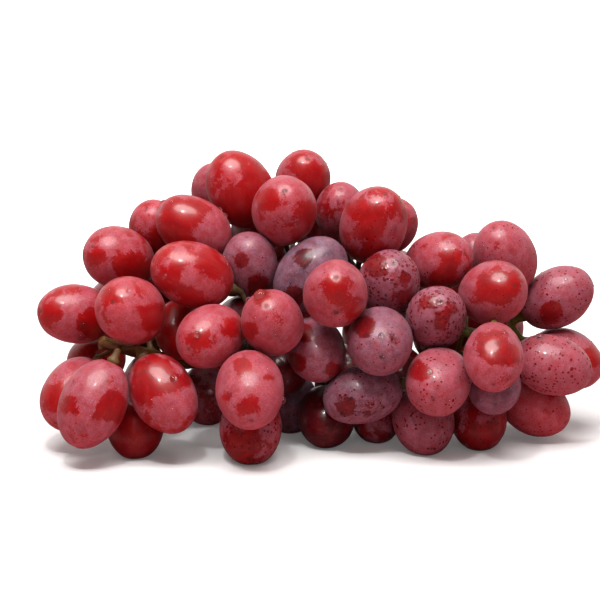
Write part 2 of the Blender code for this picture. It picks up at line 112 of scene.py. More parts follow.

# Looks of the front berries by number: ripeness (0 red, 1 blue-black), bloom cover
# (-1 bare, 1 thick), specks, and rubbed or dusty patches as (right, up, size, amount),
# in berry radii on the side that faces out. A negative amount is a bare patch.
# The first two values are partly painted light: berries low in the bunch (34, 36, 37, 38, 39,
# 41, 45, 48, 49) are set darker and barer, partly as painted shade, and 32 lighter as painted light.
LOOKS = {
    1: (0.10, 0.05, 0.2, ((0.35, -0.1, 0.55, -1.3), (-0.4, -0.35, 0.5, 0.8), (0.0, 0.5, 0.4, -0.6))),
    2: (0.0, -0.25, 0.1, ((-0.35, 0.15, 0.5, 0.8), (0.45, 0.2, 0.4, -1.0), (0.1, -0.6, 0.7, -1.4))),
    3: (0.25, 1.2, 0.1, ()),
    4: (0.12, 0.35, 0.3, ((-0.5, 0.3, 0.35, -1.5), (0.75, -0.1, 0.4, -1.3), (0.5, -0.7, 0.3, -1.2))),
    5: (0.30, 0.20, 0.3, ((0.5, 0.5, 0.4, 0.4), (-0.6, 0.0, 0.3, -0.5))),
    6: (0.15, -0.05, 0.5, (
        (-0.15, 0.1, 0.5, -1.2), (0.6, -0.4, 0.5, 0.9),
        (-0.8, 0.1, 0.25, 0.8), (0.1, -0.85, 0.4, -1.2),
    )),
    7: (0.10, 0.40, 0.5, ()),
    8: (0.15, 0.1, 0.1, ((-0.3, 0.2, 0.75, -1.5), (0.5, -0.2, 0.6, 1.5), (-0.5, -0.6, 0.5, -1.0))),
    9: (0.05, 0.10, 0.1, ((0.2, -0.5, 0.5, -0.8),)),
    10: (0.12, 0.05, 0.1, (
        (-0.6, 0.0, 0.3, -1.2), (0.4, -0.4, 0.55, -1.5),
        (-0.35, -0.65, 0.5, 1.0), (-0.1, 0.2, 0.3, 0.5),
    )),
    11: (0.05, -0.15, 0.15, (
        (0.1, -0.05, 0.45, 0.9), (-0.5, 0.15, 0.3, -1.0), (0.5, 0.3, 0.4, -1.0),
        (-0.7, 0.35, 0.2, 0.7), (0.6, -0.5, 0.4, 0.8), (0.1, -0.7, 0.4, -1.0),
    )),
    12: (0.12, 0.15, 0.1, (
        (-0.75, -0.05, 0.35, -1.4), (0.5, -0.35, 0.4, -1.6), (0.0, 0.2, 0.4, 0.6),
        (-0.2, -0.7, 0.5, 0.8), (-0.4, 0.55, 0.3, -0.9),
    )),
    13: (0.05, 0.1, 0.1, (
        (0.75, -0.2, 0.4, -1.6), (-0.5, 0.5, 0.3, -0.8),
        (0.0, -0.4, 0.5, 0.7), (0.7, 0.4, 0.2, 0.8),
    )),
    14: (0.12, 0.35, 0.2, (
        (-0.3, -0.1, 0.45, -1.2), (0.7, 0.3, 0.3, -1.2),
        (0.0, 0.5, 0.4, 0.3), (0.1, -0.7, 0.5, 0.6),
    )),
    15: (0.65, 0.85, 0.35, ((-0.3, 0.15, 0.3, -1.7), (0.3, -0.75, 0.45, -2.0))),
    16: (0.95, 0.8, 0.35, ((-0.25, 0.5, 0.3, -1.9), (-0.5, -0.7, 0.35, -2.2), (-0.1, 0.65, 0.2, -1.5))),
    17: (0.22, 0.50, 0.35, (
        (0.0, 0.15, 0.45, -1.6), (0.55, -0.5, 0.4, -1.5),
        (-0.15, -0.75, 0.4, 0.6), (0.1, 0.85, 0.3, 0.7),
    )),
    18: (0.60, 0.50, 1.0, ((-0.45, 0.6, 0.35, -2.0), (0.5, -0.35, 0.45, -0.9), (0.5, 0.25, 0.18, -1.5))),
    19: (0.18, 0.20, 0.5, ((0.3, 0.1, 0.35, -0.9), (0.1, -0.6, 0.4, -1.1), (-0.6, 0.0, 0.4, 0.6))),
    20: (0.18, 0.75, 0.4, ((-0.75, -0.25, 0.28, -2.4), (0.25, 0.1, 0.3, -0.9), (-0.3, 0.8, 0.3, -1.9))),
    21: (0.62, 0.70, 0.3, ((-0.4, 0.6, 0.3, -2.2), (-0.7, -0.4, 0.35, -2.0), (0.6, -0.7, 0.3, -1.6))),
    22: (0.75, 0.85, 0.5, ((-0.5, 0.45, 0.35, -2.2), (0.4, 0.15, 0.3, -1.0))),
    23: (0.60, 0.50, 0.9, ((0.1, -0.15, 0.3, -1.2), (-0.3, 0.6, 0.3, -1.3), (0.5, 0.3, 0.3, -0.8))),
    24: (0.22, 0.20, 0.4, ((0.05, 0.15, 0.55, -1.9), (-0.1, -0.65, 0.5, 0.6), (0.6, 0.4, 0.3, -0.8))),
    25: (0.22, 1.10, 0.5, ((-0.35, 0.35, 0.22, -1.4), (0.0, -0.5, 0.3, -0.3))),
    26: (0.35, 0.6, 0.3, ()),
    27: (0.40, 0.85, 0.7, ((-0.25, -0.5, 0.42, -2.2), (-0.7, 0.1, 0.3, -0.6))),
    28: (0.28, 0.35, 0.4, ((-0.1, 0.35, 0.5, -1.9), (0.4, 0.1, 0.35, -1.5))),
    29: (0.32, 1.05, 0.8, ((0.75, -0.1, 0.3, -0.5),)),
    30: (0.25, 0.40, 0.4, ((0.8, 0.1, 0.35, -1.6),)),
    31: (0.35, 0.7, 0.6, ((-0.6, 0.35, 0.3, -2.0), (0.1, -0.3, 0.4, -0.3))),
    32: (0.00, 0.95, 0.5, ((0.2, 0.1, 0.35, -0.8), (0.7, 0.3, 0.3, -0.8))),
    33: (0.90, 0.90, 0.3, ((-0.6, 0.3, 0.3, -0.8),)),
    34: (0.45, -0.10, 0.7, ((0.0, -0.6, 0.5, -0.8),)),
    35: (0.55, 0.95, 0.7, ()),
    36: (0.85, 0.55, 0.6, ((-0.6, -0.35, 0.35, -1.5), (0.1, -0.55, 0.3, -0.8))),
    37: (0.65, 0.0, 0.3, ()),
    38: (1.00, -0.90, 0.3, ((0.3, -0.4, 0.6, -0.8),)),
    39: (0.95, 0.7, 0.4, ()),
    40: (0.22, 0.7, 0.3, (
        (0.0, -0.4, 0.4, -1.5), (-0.65, -0.1, 0.2, -1.0),
        (-0.2, 0.7, 0.3, -1.7), (0.5, 0.4, 0.2, -1.0),
    )),
    41: (0.40, 0.10, 0.8, ((-0.3, -0.5, 0.5, -1.3),)),
    42: (0.22, 0.0, 0.2, ((-0.25, 0.35, 0.6, -1.7), (0.3, -0.35, 0.6, 1.5), (0.55, 0.3, 0.3, -0.9))),
    43: (0.26, 0.50, 0.2, ((0.6, -0.1, 0.45, -2.2), (-0.6, 0.0, 0.35, -1.0), (0.0, 0.2, 0.4, 0.8))),
    44: (0.15, 0.25, 0.2, ((-0.4, -0.1, 0.5, -1.0),)),
    45: (0.50, -0.40, 0.3, ((0.3, -0.5, 0.6, -1.2),)),
    46: (0.00, -0.50, 0.2, ()),
    47: (0.00, -0.60, 0.2, ((-0.3, -0.4, 0.4, -0.8),)),
    48: (0.50, 0.1, 0.1, ()),
    49: (1.00, -0.60, 0.3, ()),
}
# The berries at the back: darker and barer, as painted shade inside the bunch.
PLAIN_LOOK = (0.55, -0.3, 0.2, ())

# Larger drops of water: berry number, right, up (berry radii on the outward side), size in mm.
# A drop's half width is DROP_SCALE times its size.
DROP_SCALE = 0.7
DROPS = (
    (9, 0.35, 0.85, 2.3), (8, 0.75, 0.55, 1.1), (8, 0.85, 0.35, 1.4), (8, -0.5, 0.65, 0.7),
    (20, -0.35, 0.86, 3.0), (20, -0.75, 0.75, 1.2), (20, 0.3, -0.55, 0.8), (20, 0.1, -0.4, 0.6),
    (29, -0.35, 0.72, 2.2), (29, 0.45, 0.75, 1.0), (14, -0.35, 0.05, 1.4), (4, 0.0, 0.5, 1.3),
    (12, 0.25, -0.3, 1.8), (12, 0.2, -0.6, 1.9), (17, 0.0, -0.55, 1.1), (22, 0.0, 0.15, 1.4),
    (22, 0.05, -0.45, 1.2), (42, 0.3, 0.35, 1.6), (42, -0.3, 0.75, 0.9), (15, 0.05, -0.5, 0.7),
    (13, 0.0, 0.55, 1.0), (13, 0.85, 0.1, 1.6), (11, 0.8, 0.45, 0.9), (11, 0.85, 0.25, 1.3),
    (11, 0.6, 0.65, 0.7), (40, 0.95, -0.3, 1.6), (40, 0.5, 0.55, 0.8), (41, 0.75, 0.1, 0.9),
    (31, -0.3, 0.3, 1.3), (31, 0.6, 0.1, 1.6), (28, 0.3, 0.75, 1.0), (28, 0.0, -0.45, 0.6),
    (6, 0.55, -0.1, 0.9), (6, 0.7, 0.35, 0.7), (19, -0.1, 0.5, 0.7), (19, 0.25, -0.3, 0.8),
    (25, -0.65, 0.25, 1.6), (25, 0.15, 0.0, 0.9), (27, 0.7, 0.3, 0.7), (30, 0.1, 0.7, 0.8),
    (18, -0.1, 0.6, 0.9), (18, 0.0, 0.1, 0.7), (21, 0.45, -0.8, 0.9), (36, -0.55, -0.5, 1.0),
    (36, 0.75, -0.2, 1.1), (38, 0.8, 0.0, 0.8), (16, 0.75, -0.1, 0.9), (1, 0.3, -0.75, 1.1),
    (2, 0.4, 0.6, 0.6), (7, 0.2, 0.4, 1.1), (18, -0.6, 0.0, 0.5), (23, 0.2, 0.5, 1.0),
)

# Shrivelled spots: berry number, right, up, size (berry radii), depth in mm.
WRINKLES = ((28, 0.0, 0.35, 0.6, 0.30), (23, 0.1, 0.35, 0.6, 0.22), (45, 0.0, 0.2, 0.6, 0.06))

# How far out on a berry's face the drops at its rim sit, how much of its half width a drop is
# lifted off the skin, and how high over the table mist starts, in half widths of its largest drop.
DROP_RIM = 0.97
DROP_LIFT = 0.1
MIST_CLEARANCE = 4

# Colours of small things, and how far red, green and blue light travel in flesh and in wood.
STREAK = (0.55, 0.05, 0.03, 1)
WET_SKIN = (0.13, 0.004, 0.010, 1)
POWDER = (0.78, 0.55, 0.60, 1)
STALK_END = (0.30, 0.20, 0.05, 1)
SCAR = (0.07, 0.02, 0.012, 1)
CORK = (0.12, 0.045, 0.015, 1)
STALK_TIP = (0.30, 0.24, 0.06, 1)
SHEEN_TINT = (0.95, 0.72, 0.74, 1)
LIGHT_IN_FLESH = (1.0, 0.07, 0.05)
LIGHT_IN_WOOD = (0.8, 0.9, 0.2)

# The white table: its two tones, the colour that it shows in gloss, and the distances from
# the bunch between which it turns into plain white. Then the studio's tint and its brightness.
TABLE_TONES = (0.93, 0.93, 0.93, 1), (0.95, 0.95, 0.95, 1)
TABLE_IN_GLOSS = (0.16, 0.10, 0.10, 1)
TABLE_FADE = (0.1, 0.4)
WHITE = (1, 1, 1, 1)
STUDIO_TINT = (1.0, 0.90, 0.88, 1)
STUDIO_WHITE = 1.3

# Area lights: name, place, size and colour. All of them look at LIT_POINT.
LIT_POINT = (0, 0, 0.04)
LIGHTS = (
    ("key", (-0.05, -0.24, 0.75), (0.75, 0.5), (1.0, 0.985, 0.97)),
    ("fill", (0.2, -1.0, 0.3), (1.3, 0.9), (1.0, 0.94, 0.92)),
    ("spark", (-0.12, -0.5, 0.8), (0.07, 0.07), (1, 1, 1)),
)


# Node helpers

def node(tree, kind, inputs=None, **settings):
    """Adds a node, sets its options, and links or sets its inputs."""
    made = tree.nodes.new(kind)
    for key, value in settings.items():
        setattr(made, key, value)
    for key, value in (inputs or {}).items():
        feed(tree, made.inputs[key], value)
    return made


def feed(tree, socket, value):
    if isinstance(value, bpy.types.NodeSocket):
        tree.links.new(value, socket)
    else:
        socket.default_value = value


def calc(tree, operation, *values, clamp=False):
    made = tree.nodes.new("ShaderNodeMath")
    made.operation, made.use_clamp = operation, clamp
    for socket, value in zip(made.inputs, values):
        feed(tree, socket, value)
    return made.outputs[0]


def plus(tree, first, second, clamp=False):
    return calc(tree, "ADD", first, second, clamp=clamp)


def minus(tree, first, second, clamp=False):
    return calc(tree, "SUBTRACT", first, second, clamp=clamp)


def times(tree, first, second):
    return calc(tree, "MULTIPLY", first, second)


def vector_calc(tree, operation, *values):
    made = tree.nodes.new("ShaderNodeVectorMath")
    made.operation = operation
    for key, value in zip(("Vector", "Vector_001", "Vector_002"), values):
        feed(tree, next(s for s in made.inputs if s.identifier == key), value)
    single = operation in ("LENGTH", "DISTANCE", "DOT_PRODUCT")
    return made.outputs["Value" if single else "Vector"]


def step(tree, value, low, high):
    """0 below low, 1 above high, smooth between."""
    made = node(tree, "ShaderNodeMapRange", interpolation_type="SMOOTHSTEP")
    for key, number in (("Value", value), ("From Min", low), ("From Max", high)):
        feed(tree, made.inputs[key], number)
    return made.outputs[0]


def spread(tree, value, low, high, to_low, to_high):
    made = node(tree, "ShaderNodeMapRange")
    names = ("Value", "From Min", "From Max", "To Min", "To Max")
    for key, number in zip(names, (value, low, high, to_low, to_high)):
        feed(tree, made.inputs[key], number)
    return made.outputs[0]


def blend_colours(tree, share, first, second, kind="MIX"):
    made = node(tree, "ShaderNodeMix", data_type="RGBA", blend_type=kind)
    made.clamp_factor = True
    feed(tree, made.inputs[0], share)
    feed(tree, made.inputs[6], first)
    feed(tree, made.inputs[7], second)
    return made.outputs[2]


def grain(tree, place, scale, detail=3.0, rough=0.55, bend=0.0):
    made = node(
        tree,
        "ShaderNodeTexNoise",
        {"Vector": place, "Scale": scale, "Detail": detail, "Roughness": rough, "Distortion": bend},
    )
    return made.outputs["Fac"]


def new_group(name, kind, inputs, outputs):
    """A node group with named sockets. Returns the tree, its input and its output node."""
    tree = bpy.data.node_groups.new(name, kind)
    for title, socket, value in inputs:
        made = tree.interface.new_socket(title, in_out="INPUT", socket_type=socket)
        if value is not None:
            made.default_value = value
    for title, socket in outputs:
        tree.interface.new_socket(title, in_out="OUTPUT", socket_type=socket)
    return tree, tree.nodes.new("NodeGroupInput").outputs, tree.nodes.new("NodeGroupOutput").inputs


FLOAT, VECTOR, COLOUR = "NodeSocketFloat", "NodeSocketVector", "NodeSocketColor"
GEOMETRY, MATERIAL, INTEGER = "NodeSocketGeometry", "NodeSocketMaterial", "NodeSocketInt"


def apply_group(obj, tree, values):
    """Runs a geometry node tree on the object and keeps the result as its plain mesh."""
    made = obj.modifiers.new(tree.name, "NODES")
    made.node_group = tree
    sockets = {s.name: s.identifier for s in tree.interface.items_tree if s.in_out == "INPUT"}
    for title, value in values.items():
        made[sockets[title]] = value
    return finished(obj)


def finished(obj):
    """Turns what the object's modifiers make into its plain mesh."""
    graph = bpy.context.evaluated_depsgraph_get()
    data = bpy.data.meshes.new_from_object(obj.evaluated_get(graph), depsgraph=graph)
    obj.modifiers.clear()
    old, obj.data = obj.data, data
    bpy.data.meshes.remove(old)
    data.name = obj.name
    return obj


def new_object(name, data=None):
    made = bpy.data.objects.new(name, data or bpy.data.meshes.new(name))
    bpy.context.scene.collection.objects.link(made)
    return made


def mesh_points(data):
    found = np.empty(len(data.vertices) * 3)
    data.vertices.foreach_get("co", found)
    return found.reshape(-1, 3)


def set_points(data, points):
    data.vertices.foreach_set("co", np.ascontiguousarray(points, np.float32).reshape(-1))
    data.update()


def set_values(data, name, values):
    attribute = data.attributes.get(name) or data.attributes.new(name, "FLOAT", "POINT")
    values = np.broadcast_to(np.asarray(values, np.float32), len(data.vertices))
    attribute.data.foreach_set("value", np.ascontiguousarray(values))


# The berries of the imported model

def corner_points(name):
    """The model's corners in this node, each once."""
    points = mesh_points(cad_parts[name].data)
    _, first = np.unique(np.round(points, 6), axis=0, return_index=True)
    return points[np.sort(first)]


def fitted(points):
    """The ellipsoid through these points: centre, axes as columns, half lengths, longest first.

    It works in units of about a berry, so that all terms are of like size.
    """
    size = 0.01
    middle = points.mean(axis=0)
    x, y, z = ((points - middle) / size).T
    rows = np.stack((x * x, y * y, z * z, 2 * x * y, 2 * x * z, 2 * y * z, 2 * x, 2 * y, 2 * z), axis=1)
    s = np.linalg.lstsq(rows, np.ones(len(points)), rcond=None)[0]
    form = np.array(((s[0], s[3], s[4]), (s[3], s[1], s[5]), (s[4], s[5], s[2])))
    if abs(np.linalg.det(form)) < 1e-9:
        return None
    centre = -np.linalg.solve(form, s[6:])
    values, axes = np.linalg.eigh(form / (1 + centre @ form @ centre))
    if values[0] <= 0:
        return None
    return centre * size + middle, axes, size / np.sqrt(values)


def is_berry(form):
    if form is None:
        return False
    half = form[2]
    shortest, longest = BERRY_HALF_LENGTH
    plump, slim = BERRY_RATIO
    is_round = abs(half[1] - half[2]) < ROUND_WITHIN
    return is_round and shortest < half[0] < longest and plump < half[0] / half[2] < slim


def off_surface(form, points):
    """How far each point is off the ellipsoid, as a share of its distance from the centre."""
    centre, axes, half = form
    local = (points - centre) @ axes / half
    return np.abs(np.linalg.norm(local, axis=1) - 1)


def berries_in(name, count):
    """Finds the count ellipsoids whose surfaces hold the node's corners."""
    points = corner_points(name)
    points = points[points[:, 2] > ABOVE_TABLE]
    if count == 1:
        return [fitted(points)]
    found = []
    left = points
    for _ in range(count):
        best, best_on = None, 0
        for seed in left:
            near = np.argsort(np.linalg.norm(left - seed, axis=1))[:NEAR_CORNERS]
            form = fitted(left[near])
            if not is_berry(form):
                continue
            on = int((off_surface(form, left) < ON_SURFACE).sum())
            if on > best_on:
                best, best_on = form, on
        if best is None:
            raise RuntimeError(f"{name}: only {len(found)} of {count} berries found")
        best = fitted(left[off_surface(best, left) < ON_SURFACE])
        found.append(best)
        left = left[off_surface(best, left) > ON_SURFACE]
    return found


class Berry:
    """One berry: direction points from its stalk to its blossom end."""

    def __init__(self, name, node_name, number, form, stem):
        centre, axes, half = form
        self.name, self.node_name, self.number = name, node_name, number
        self.centre, self.h, self.r = centre, half[0], (half[1] + half[2]) / 2
        axis = axes[:, 0] / np.linalg.norm(axes[:, 0])
        ends = [np.linalg.norm(stem - (centre + s * axis * self.h), axis=1).min() for s in (1, -1)]
        self.direction = -axis if ends[0] < ends[1] else axis
        self.ripeness, self.cover, self.specks, self.patches = LOOKS.get(number, PLAIN_LOOK)

    def reach(self, normal, grow):
        """How far the grown berry reaches along the normal from its centre."""
        share = normal @ self.direction
        r, h = self.r + grow, self.h + grow
        return math.sqrt(r * r * (1 - share * share) + h * h * share * share)

    def spread_matrix(self, grow):
        """The grown berry as a matrix: normal @ matrix @ normal is its reach squared."""
        r, h = self.r + grow, self.h + grow
        along = np.outer(self.direction, self.direction)
        return r * r * (np.eye(3) - along) + h * h * along

    def stalk_end(self):
        return self.centre - self.direction * self.h


def all_berries():
    """The model's berries, front and back, found anew from its nodes."""
    stem = corner_points("stem")
    most = max(KNOT_BERRIES)
    found = []
    for name in sorted(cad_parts):
        kind, _, number = name.rpartition("_")
        if kind == "grape":
            found.append(Berry(f"berry_{number}", name, int(number), berries_in(name, 1)[0], stem))
        elif kind == "grapes_back":
            forms = berries_in(name, KNOT_BERRIES[int(number) - 1])
            for k, form in enumerate(forms, 1):
                count = BACK_NUMBER + int(number) * most + k
                found.append(Berry(f"back_berry_{number}_{k}", name, count, form, stem))
    return found


def touching_plane(a, b, grow):
    """The plane between two berries, as (normal from a to b, offset), or None if they are apart."""
    way = b.centre - a.centre
    if np.linalg.norm(way) > a.h + b.h + 2 * grow:
        return None
    forms = a.spread_matrix(grow), b.spread_matrix(grow)
    normal = way / np.linalg.norm(way)
    rounds, stride = 60, 25
    for _ in range(rounds):
        pull = way - sum(m @ normal / math.sqrt(normal @ m @ normal) for m in forms)
        normal = normal + (pull - normal * (pull @ normal)) * stride
        normal = normal / np.linalg.norm(normal)
    low = normal @ b.centre - b.reach(normal, grow)
    high = normal @ a.centre + a.reach(normal, grow)
    return (normal, (low + high) / 2) if high > low - TOUCH_GAP else None


# Shape of a berry

def berry_tree():
    """One berry: a slim ball with a dimple at the stalk and a scar at the blossom end."""
    tree, given, result = new_group(
        "Grape berry",
        "GeometryNodeTree",
        (
            ("Centre", VECTOR, None),
            ("Towards", VECTOR, (0, 0, 1)),
            ("Half Width", FLOAT, 0.009),
            ("Half Length", FLOAT, 0.012),
            ("Dimple Depth", FLOAT, 0.0007),
            ("Dimple Width", FLOAT, 0.0022),
            ("Scar Depth", FLOAT, 0.0003),
            ("Scar Width", FLOAT, 0.0009),
            ("Waviness", FLOAT, 0.0003),
            ("Seed", FLOAT, 0.0),
            ("Segments", INTEGER, 48),
            ("Rings", INTEGER, 36),
            ("Skin", MATERIAL, None),
        ),
        (("Geometry", GEOMETRY),),
    )
    ball = node(
        tree, "GeometryNodeMeshUVSphere",
        {"Segments": given["Segments"], "Rings": given["Rings"], "Radius": 1.0},
    )
    spot = node(tree, "GeometryNodeInputPosition").outputs[0]
    parts = node(tree, "ShaderNodeSeparateXYZ", {0: spot}).outputs
    squares = plus(tree, times(tree, parts[0], parts[0]), times(tree, parts[1], parts[1]))
    from_axis = times(tree, calc(tree, "SQRT", squares), given["Half Width"])

    def pit(depth, width, side):
        """A round hollow at one end: side is -1 at the stalk and 1 at the blossom."""
        share = calc(tree, "DIVIDE", from_axis, width)
        bell = calc(tree, "EXPONENT", times(tree, times(tree, share, share), -1.0))
        here = calc(tree, "GREATER_THAN", times(tree, parts[2], side), 0.0)
        inward = times(tree, depth, -side)
        return times(tree, times(tree, bell, here), inward)

    along = times(tree, parts[2], given["Half Length"])
    along = plus(tree, along, pit(given["Dimple Depth"], given["Dimple Width"], -1.0))
    along = plus(tree, along, pit(given["Scar Depth"], given["Scar Width"], 1.0))
    local = node(
        tree, "ShaderNodeCombineXYZ",
        {0: times(tree, parts[0], given["Half Width"]),
         1: times(tree, parts[1], given["Half Width"]), 2: along},
    ).outputs[0]
    apart = node(tree, "ShaderNodeCombineXYZ", {0: given["Seed"], 1: given["Seed"], 2: 0.0}).outputs[0]
    wave = grain(tree, vector_calc(tree, "ADD", spot, apart), 1.1, detail=1.0, rough=0.4)
    wave = times(tree, minus(tree, wave, 0.5), given["Waviness"])
    outward = vector_calc(tree, "NORMALIZE", local)
    scaled = node(tree, "ShaderNodeVectorMath", {0: outward}, operation="SCALE")
    feed(tree, scaled.inputs["Scale"], wave)
    local = vector_calc(tree, "ADD", local, scaled.outputs[0])

    kept = node(
        tree, "GeometryNodeStoreNamedAttribute",
        {"Geometry": ball.outputs["Mesh"], "Name": "along", "Value": parts[2]},
        data_type="FLOAT", domain="POINT",
    )
    around = vector_calc(tree, "ADD", local, apart)
    kept = node(
        tree, "GeometryNodeStoreNamedAttribute",
        {"Geometry": kept.outputs[0], "Name": "skin_place"},
        data_type="FLOAT_VECTOR", domain="POINT",
    )
    tree.links.new(around, next(s for s in kept.inputs if s.name == "Value" and s.enabled))
    turn = node(tree, "FunctionNodeAlignRotationToVector", {"Vector": given["Towards"]}, axis="Z")
    turned = node(tree, "FunctionNodeRotateVector", {"Vector": local, "Rotation": turn.outputs[0]})
    moved = vector_calc(tree, "ADD", turned.outputs[0], given["Centre"])
    placed = node(tree, "GeometryNodeSetPosition", {"Geometry": kept.outputs[0], "Position": moved})
    smooth = node(tree, "GeometryNodeSetShadeSmooth", {"Geometry": placed.outputs[0], "Shade Smooth": True})
    whole = node(tree, "GeometryNodeRealizeInstances", {"Geometry": smooth.outputs[0]})
    skin = node(tree, "GeometryNodeSetMaterial", {"Geometry": whole.outputs[0], "Material": given["Skin"]})
    tree.links.new(skin.outputs[0], result["Geometry"])
    return tree


def press(points, plane, softness):
    """Lets the points flatten against a plane, with a soft edge."""
    normal, offset = plane
    room = offset - points @ normal
    kept = softness * np.logaddexp(0, room / softness)
    return points + np.outer(room - kept, normal)


def face_places(berry, points):
    """Where each point shows on the berry seen from outside the display face, in radii."""
    away = (points - berry.centre) / berry.r
    return away @ RIGHT, away @ UP, away @ OUT


def patch_cover(berry, points):
    """Extra bloom, or less of it, where the berry was dusted or rubbed."""
    right, up, out = face_places(berry, points)
    facing = np.clip(out * 4 + 1, 0, 1)
    total = np.zeros(len(points))
    for x, y, size, amount in berry.patches:
        far = np.hypot(right - x, up - y) / size
        total += amount * np.clip(1.35 - far, 0, 1) * facing
    return total


def fold(point):
    """1 on a fold of shrivelled skin, less away from it."""
    sway = 3 * noise.noise(Vector(point) * 150)
    return 1 - abs(noise.noise(Vector((point[0] * 160, point[2] * 420 + sway, 2.0)))) * 2.4


def wrinkled(berry, points, normals):
    """Raises folds on the berry's shrivelled spots."""
    for number, x, y, size, depth in WRINKLES:
        if number != berry.number:
            continue
        right, up, out = face_places(berry, points)
        near = np.clip(1 - np.hypot(right - x, up - y) / size, 0, 1) ** 0.7 * (out > 0)
        folds = [fold(p) for p in points]
        points = points + normals * (np.clip(folds, 0, 1) ** 2 * near * depth * MM)[:, None]
    return points


def add_berry(berry, others, tree, skin, look):
    """Makes one berry, pressed flat against its neighbours and the table."""
    obj = apply_group(
        new_object(berry.name),
        tree,
        {
            "Centre": tuple(berry.centre),
            "Towards": tuple(berry.direction),
            "Half Width": float(berry.r + look.growth),
            "Half Length": float(berry.h + look.growth),
            "Dimple Depth": look.dimple_depth,
            "Dimple Width": look.dimple_width,
            "Scar Depth": look.scar_depth,
            "Waviness": look.waviness,
            "Seed": float(berry.number),
            "Segments": look.segments,
            "Rings": look.rings,
            "Skin": skin,
        },
    )
    data = obj.data
    points = mesh_points(data)
    normals = np.array([v.normal for v in data.vertices])
    points = wrinkled(berry, points, normals)
    for other in others:
        plane = touching_plane(berry, other, look.growth)
        if plane:
            points = press(points, plane, look.softness)
    points = press(points, TABLE, look.softness)
    points[:, 2] = np.maximum(points[:, 2], 0)
    set_points(data, points)
    # Painted shade: this value also darkens berries that sit low or deep in the bunch.
    set_values(data, "ripeness", berry.ripeness)
    set_values(data, "cover", berry.cover + patch_cover(berry, points))
    set_values(data, "specks", berry.specks)
    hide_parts(berry.node_name)
    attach(obj, BODY)


# Finishes

def bloom_group():
    """The waxy bloom: where it lies, with crisp worn edges, and how thick it is."""
    tree, given, result = new_group(
        "Bloom",
        "ShaderNodeTree",
        (
            ("Place", VECTOR, None), ("Cover", FLOAT, 0.3),
            ("Patch Scale", FLOAT, 210.0), ("Edge", FLOAT, 0.16),
        ),
        (("Mask", FLOAT), ("Thickness", FLOAT)),
    )
    broad = grain(tree, given["Place"], given["Patch Scale"], detail=5.0, rough=0.62, bend=0.6)
    fine = grain(tree, given["Place"], 1400.0, rough=0.6)
    field = plus(tree, given["Cover"], times(tree, minus(tree, broad, 0.5), 3.2))
    field = plus(tree, field, times(tree, minus(tree, fine, 0.5), 1.3))
    low = times(tree, given["Edge"], -1.0)
    mask = step(tree, field, low, given["Edge"])
    clouds = grain(tree, given["Place"], 420.0, detail=5.0, rough=0.65, bend=0.3)
    powder = grain(tree, given["Place"], 3600.0, detail=2.0, rough=0.6)
    thick = spread(tree, clouds, 0.34, 0.66, 0.35, 1.05)
    thick = times(tree, thick, spread(tree, powder, 0.35, 0.65, 0.7, 1.2))
    tree.links.new(mask, result["Mask"])
    tree.links.new(times(tree, thick, mask), result["Thickness"])
    return tree


def dots_group():
    """Fine round dots where mist has wetted the bloom, and their height."""
    tree, given, result = new_group(
        "Dots",
        "ShaderNodeTree",
        (("Place", VECTOR, None), ("Amount", FLOAT, 0.5), ("Scale", FLOAT, 900.0)),
        (("Mask", FLOAT), ("Height", FLOAT)),
    )
    cells = node(
        tree, "ShaderNodeTexVoronoi",
        {"Vector": given["Place"], "Scale": given["Scale"], "Randomness": 1.0},
    )
    chance = node(tree, "ShaderNodeSeparateXYZ", {0: cells.outputs["Color"]}).outputs
    there = grain(tree, given["Place"], 160.0, detail=2.0, rough=0.5)
    there = plus(tree, there, minus(tree, given["Amount"], 0.5))
    size = times(tree, minus(tree, times(tree, chance[0], there), 0.14), 0.9)
    size = calc(tree, "MAXIMUM", size, 0.0001)
    share = calc(tree, "DIVIDE", cells.outputs["Distance"], size)
    mask = step(tree, share, 1.0, 0.6)
    dome = calc(tree, "SQRT", minus(tree, 1.0, times(tree, share, share), clamp=True))
    tree.links.new(mask, result["Mask"])
    tree.links.new(times(tree, dome, size), result["Height"])
    return tree


